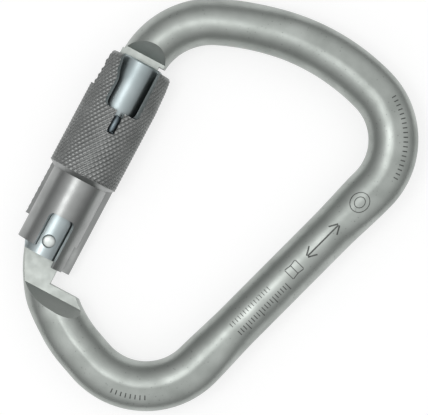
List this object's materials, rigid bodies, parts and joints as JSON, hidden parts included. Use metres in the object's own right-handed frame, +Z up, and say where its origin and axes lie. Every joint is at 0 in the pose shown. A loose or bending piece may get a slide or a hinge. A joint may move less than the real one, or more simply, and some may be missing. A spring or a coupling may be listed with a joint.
{
  "type": "locking carabiner",
  "caption": "Steel D-shaped locking carabiner: bent rod frame, sprung swing gate and knurled quarter-turn lock sleeve",
  "frame": {"origin": "centre of the bounding box in plan, at the height of the surface it lies on", "axes": "+Y along the gate's axis from the hinge to the nose, +X from the gate across the loop to the spine, +Z up, square to the loop"},
  "size_m": [0.084, 0.112, 0.0186],
  "materials": {
    "frame_steel": "satin, tumbled and zinc plated",
    "barrel_steel": "polished",
    "rivet_steel": "bright",
    "spring_steel": "bare spring wire",
    "plunger_steel": "turned",
    "sleeve_steel": "matte, knurled grip and smooth skirt"
  },
  "bodies": {
    "frame": {"frame_body": "frame_steel"},
    "gate": {"gate_barrel": "barrel_steel", "hinge_rivet": "rivet_steel", "gate_spring": "spring_steel", "stop_pin": "rivet_steel", "retaining_ring": "spring_steel"},
    "plunger": {"spring_plunger": "plunger_steel"},
    "sleeve": {"lock_sleeve": "sleeve_steel", "sleeve_spring": "spring_steel"}
  },
  "joints": [
    {"name": "gate_swing", "type": "hinge", "parent": "frame", "child": "gate", "pos_m": [-0.03212, -0.02604, 0.0093], "axis": [0, 0, -1], "range_deg": [0, 36], "stiffness_Nm_per_rad": 0.3, "springref_deg": -34.38},
    {"name": "sleeve_twist", "type": "hinge", "parent": "gate", "child": "sleeve", "pos_m": [-0.03272, -0.01204, 0.0093], "axis": [0, 1, 0], "range_deg": [0, 80], "stiffness_Nm_per_rad": 0.03, "springref_deg": -5.73, "deforming": ["sleeve_spring"]},
    {"name": "plunger_slide", "type": "slide", "parent": "gate", "child": "plunger", "axis": [0, 1, 0], "range_m": [0, 0.0012], "deforming": ["gate_spring"]}
  ],
  "couplings": [
    {"joint": "plunger_slide", "follows": "gate_swing", "m_per_rad": 0.0018}
  ]
}
